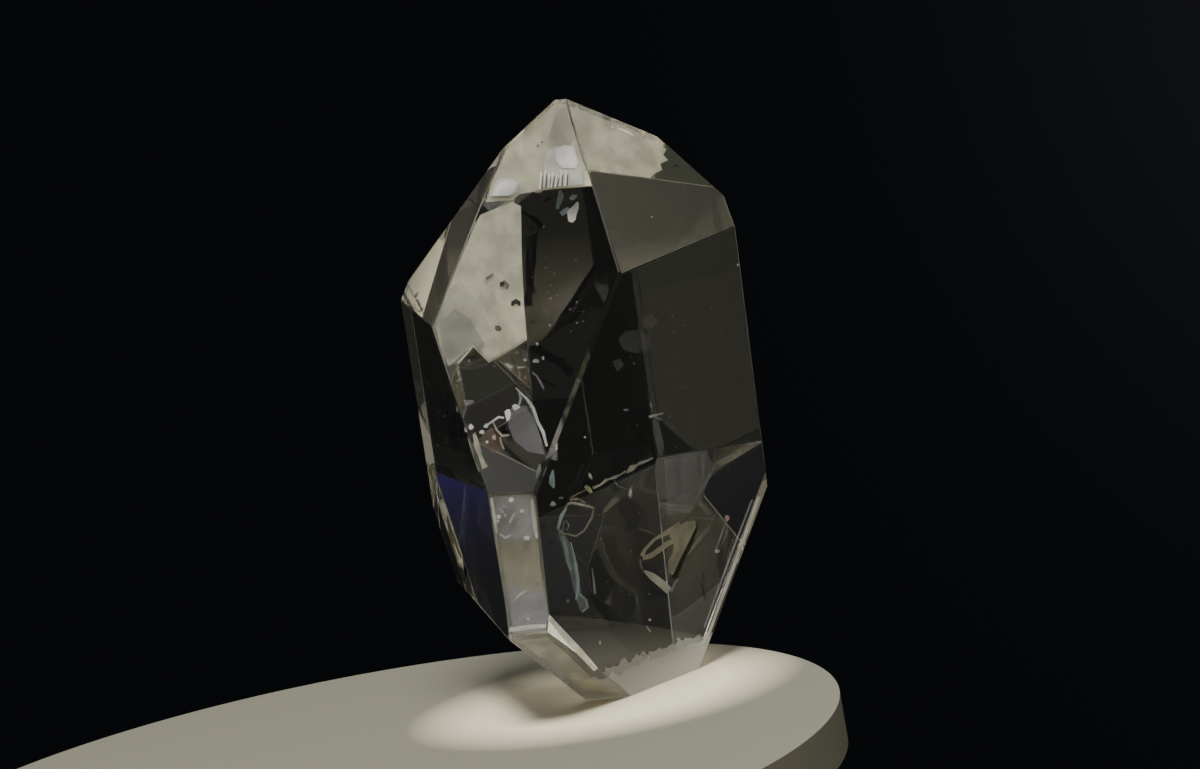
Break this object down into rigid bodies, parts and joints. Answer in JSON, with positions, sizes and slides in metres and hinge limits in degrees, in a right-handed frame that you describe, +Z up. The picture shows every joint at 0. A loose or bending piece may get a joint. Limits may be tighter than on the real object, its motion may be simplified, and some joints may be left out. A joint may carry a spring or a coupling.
{
  "type": "herkimer diamond quartz crystal",
  "caption": "Clear, doubly terminated quartz crystal with flat growth faces, standing on a small flat at its lower tip.",
  "frame": {"origin": "centre of the crystal's box, on the plane that the foot rests on", "axes": "+Z up, square to the foot; the crystal's c axis, its longest way, leans 11 degrees from it towards the front and a little right; -Y is the front, where the upper end face reaches lowest"},
  "size_m": [0.0076, 0.0084, 0.0125],
  "materials": {
    "clear_quartz": "glassy, flat growth faces, clear and colourless inside",
    "inclusions": "thin healed cracks, veils and specks sealed in the crystal"
  },
  "bodies": {
    "root": {"crystal": "clear_quartz"}
  },
  "joints": []
}
